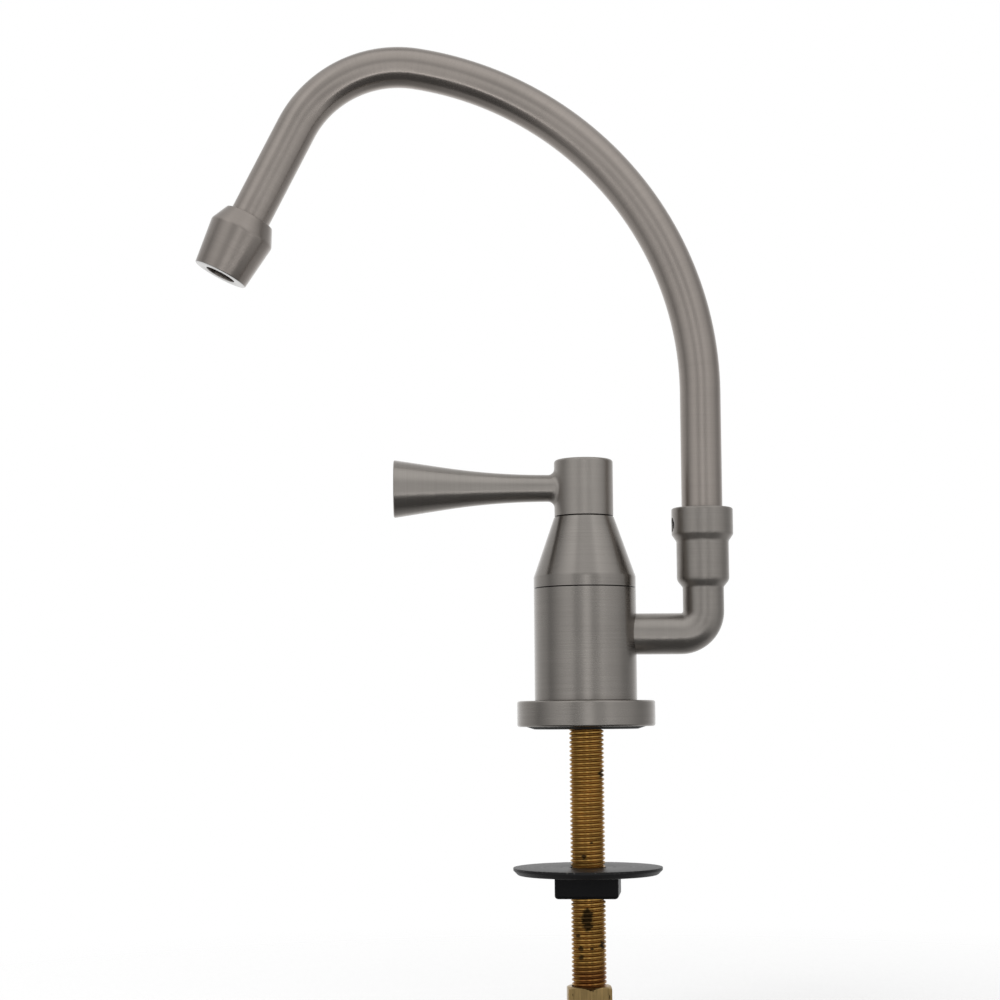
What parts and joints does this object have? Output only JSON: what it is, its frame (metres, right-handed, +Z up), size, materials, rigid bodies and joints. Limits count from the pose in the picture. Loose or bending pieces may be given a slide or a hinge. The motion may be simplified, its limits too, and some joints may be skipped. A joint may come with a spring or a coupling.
{
  "type": "point-of-use faucet",
  "caption": "Deck-mounted point-of-use faucet: round column with a conical cap and quarter-turn horn lever, an offset swivel spout with a nozzle, and a threaded shank with washer and nut.",
  "frame": {"origin": "the column's axis at the deck's top, where the shank enters the deck's hole", "axes": "+Z up along the column, -X the way the lever points and the spout reaches, +X the side of the spout's riser"},
  "size_m": [0.1874, 0.0514, 0.352],
  "materials": {
    "brushed_nickel": "brushed round each turned piece, satin",
    "brass": "raw, slightly stained",
    "black_rubber": "matt",
    "black_plastic": "moulded, matt",
    "white_nylon": "moulded, matt",
    "ceramic": "lapped",
    "fibre": "pressed fibre",
    "steel": "blackened"
  },
  "bodies": {
    "base": {"base_flange": "brushed_nickel", "base_gasket": "black_rubber", "valve_body": "brushed_nickel", "threaded_shank": "brass", "shank_gasket": "fibre", "bonnet_cap": "brushed_nickel", "cartridge_housing": "brass", "cartridge_seat_seal": "black_rubber", "fixed_disc": "ceramic", "cartridge_oring": "black_rubber", "bonnet_nut": "brass", "handle_glide_ring": "black_plastic", "elbow_gasket": "black_rubber", "outlet_elbow": "brushed_nickel", "spout_thrust_washer": "white_nylon", "spout_set_screw": "steel", "inlet_adapter": "brass", "adapter_washer": "fibre"},
    "handle": {"lever_handle": "brushed_nickel", "handle_set_screw": "steel", "cartridge_stem": "brass", "moving_disc": "ceramic", "stem_orings": "black_rubber", "stem_circlip": "steel"},
    "spout": {"spout_tube": "brushed_nickel", "spout_end_fitting": "brass", "spout_orings": "black_rubber", "spout_nozzle": "brushed_nickel", "flow_straightener": "white_nylon", "nozzle_gasket": "black_rubber"},
    "clamp_washer": {"mounting_washer": "black_plastic"},
    "clamp_nut": {"mounting_nut": "black_plastic"}
  },
  "joints": [
    {"name": "handle_turn", "type": "hinge", "parent": "base", "child": "handle", "pos_m": [0, 0, 0.0839], "axis": [0, 0, 1], "range_deg": [0, 90]},
    {"name": "spout_swivel", "type": "hinge", "parent": "base", "child": "spout", "pos_m": [0.0414, 0, 0.0714], "axis": [0, 0, 1], "continuous": true},
    {"name": "washer_slide", "type": "slide", "parent": "base", "child": "clamp_washer", "axis": [0, 0, 1], "range_m": [-0.028, 0.046]},
    {"name": "nut_turn", "type": "hinge", "parent": "clamp_washer", "child": "clamp_nut", "pos_m": [0, 0, -0.0538], "axis": [0, 0, 1], "range_deg": [-6710, 11030]}
  ],
  "couplings": [
    {"joint": "washer_slide", "follows": "nut_turn", "m_per_rad": 0.00023873}
  ]
}
